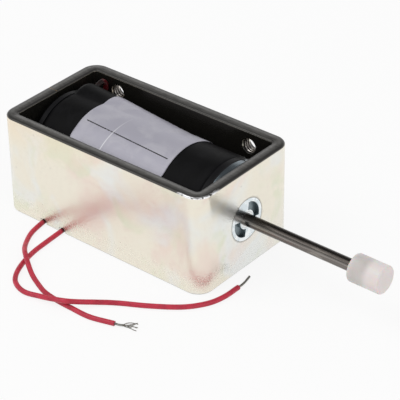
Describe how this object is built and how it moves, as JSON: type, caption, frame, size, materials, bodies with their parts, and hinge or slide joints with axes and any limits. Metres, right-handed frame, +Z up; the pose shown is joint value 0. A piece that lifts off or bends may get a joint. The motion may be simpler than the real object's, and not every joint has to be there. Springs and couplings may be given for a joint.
{
  "type": "push pull solenoid",
  "caption": "Open-frame push pull solenoid: bent steel frame round a taped coil, sliding plunger with a thin push rod and soft tip, and two flying leads.",
  "frame": {"origin": "the point under the middle of the solenoid's length, without the leads, on the plane that the frame stands on", "axes": "+X along the push rod towards the soft tip, +Y across the frame towards the wall with the four fixing holes, +Z up"},
  "size_m": [0.1024, 0.0561, 0.0258],
  "materials": {
    "passivated_zinc": "glossy pale yellow passivated zinc",
    "blue_zinc": "bright blue-white zinc",
    "bronze": "sintered bronze",
    "brass": "drawn brass",
    "black_nylon": "moulded black nylon",
    "copper": "enamelled copper wire",
    "black_tape": "satin black tape",
    "black_fibre": "black fibre",
    "label_foil": "satin silver-grey foil",
    "red_insulation": "satin red insulation",
    "tinned_copper": "tinned copper strands",
    "plunger_steel": "ground steel",
    "rod_steel": "drawn stainless steel",
    "natural_nylon": "translucent white nylon"
  },
  "bodies": {
    "housing": {"frame": "passivated_zinc", "pole_plate": "blue_zinc", "fixed_core": "blue_zinc", "guide_bush": "bronze", "antistick_washer": "brass", "guide_tube": "brass", "flux_ring": "blue_zinc", "bobbin": "black_nylon", "winding": "copper", "coil_wrap": "black_tape", "coil_pad": "black_fibre", "label": "label_foil", "lead_joints": "red_insulation", "lead_wire_a": "red_insulation", "lead_wire_b": "red_insulation", "conductor_a": "tinned_copper", "conductor_b": "tinned_copper"},
    "armature": {"plunger": "plunger_steel", "push_rod": "rod_steel", "tip_cap": "natural_nylon"}
  },
  "joints": [
    {"name": "armature_slide", "type": "slide", "parent": "housing", "child": "armature", "axis": [1, 0, 0], "range_m": [-0.029, 0]}
  ]
}
